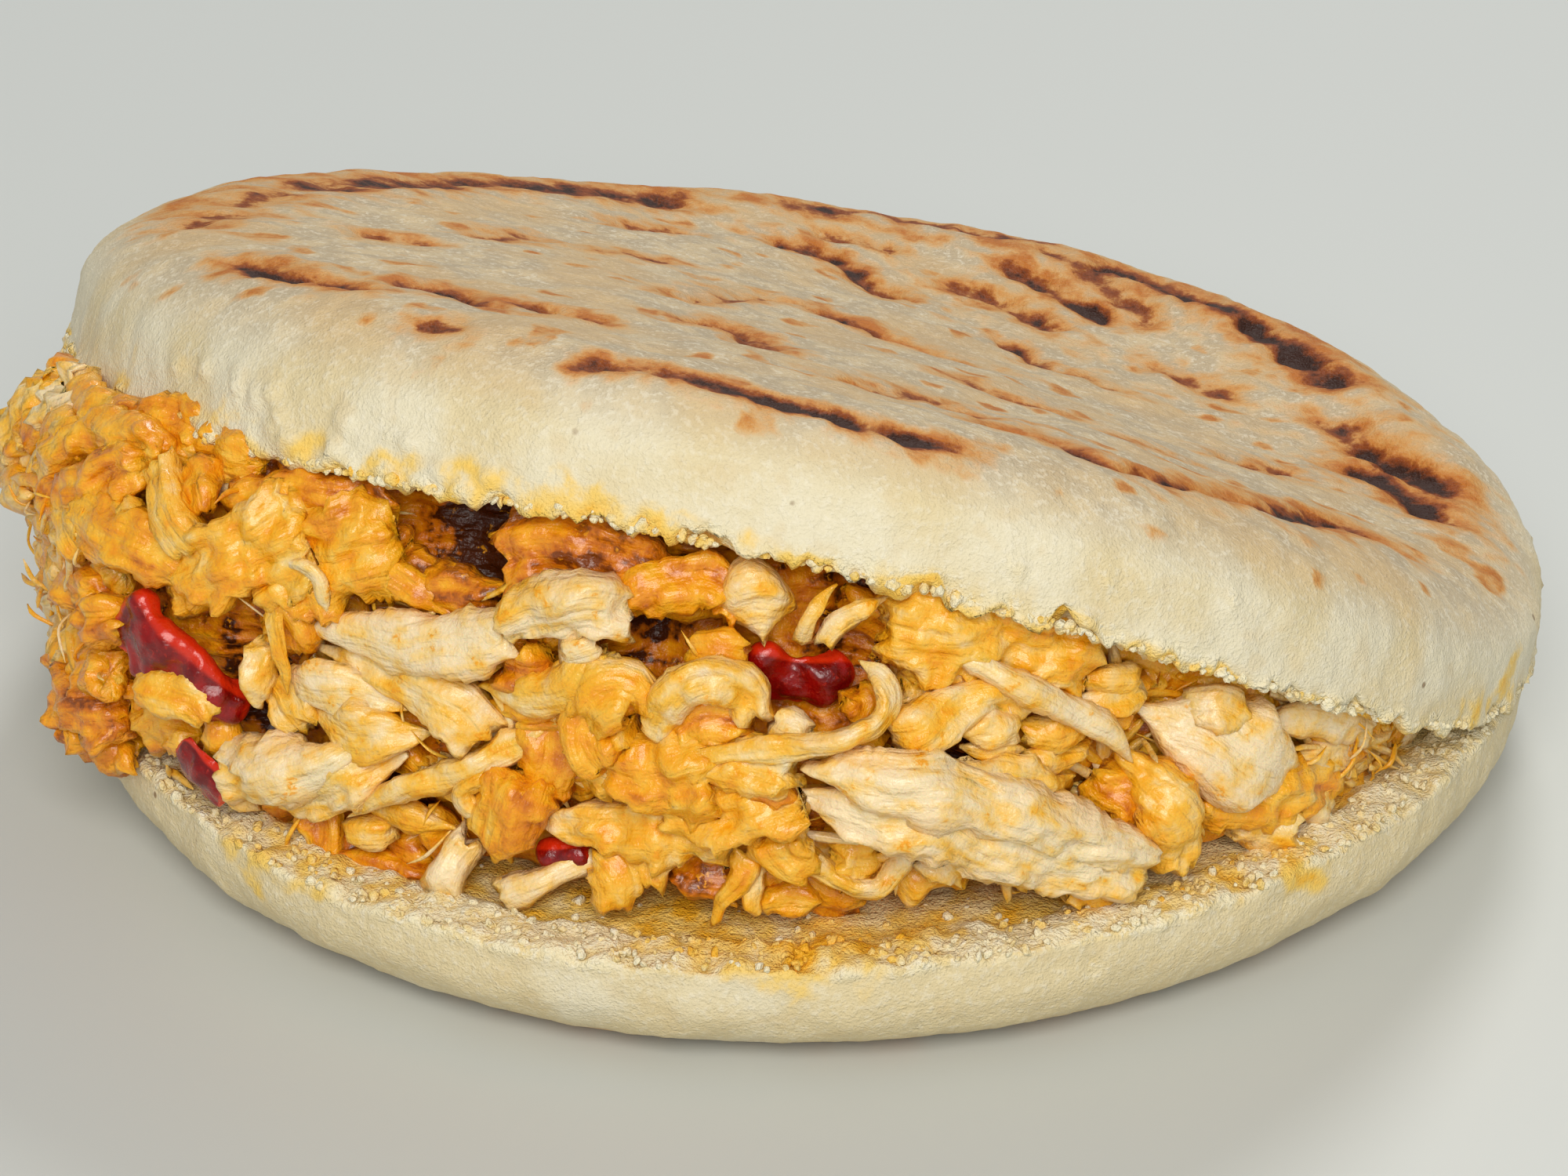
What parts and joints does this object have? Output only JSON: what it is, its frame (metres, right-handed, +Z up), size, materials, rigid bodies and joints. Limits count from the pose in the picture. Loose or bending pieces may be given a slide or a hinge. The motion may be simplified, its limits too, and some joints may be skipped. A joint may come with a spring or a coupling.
{
  "type": "stuffed arepa corn cake",
  "caption": "Round griddled corn cake slit open along its front and stuffed with shredded chicken and strips of red pepper.",
  "frame": {"origin": "centre of the corn cake's flat underside, on the surface it rests on", "axes": "+Z up; -Y towards the open front of the slit; the halves stay joined towards +X +Y"},
  "size_m": [0.1122, 0.1102, 0.0462],
  "materials": {
    "corn_dough": "dry, floury, grainy crumb with griddle-browned ridges on top",
    "shredded_chicken": "moist, pale fibrous meat coated in orange-yellow sauce",
    "red_pepper": "wet, glossy"
  },
  "bodies": {
    "root": {"corn_cake": "corn_dough", "chicken_filling": "shredded_chicken", "red_pepper_1": "red_pepper", "red_pepper_2": "red_pepper", "red_pepper_3": "red_pepper", "red_pepper_4": "red_pepper"}
  },
  "joints": []
}
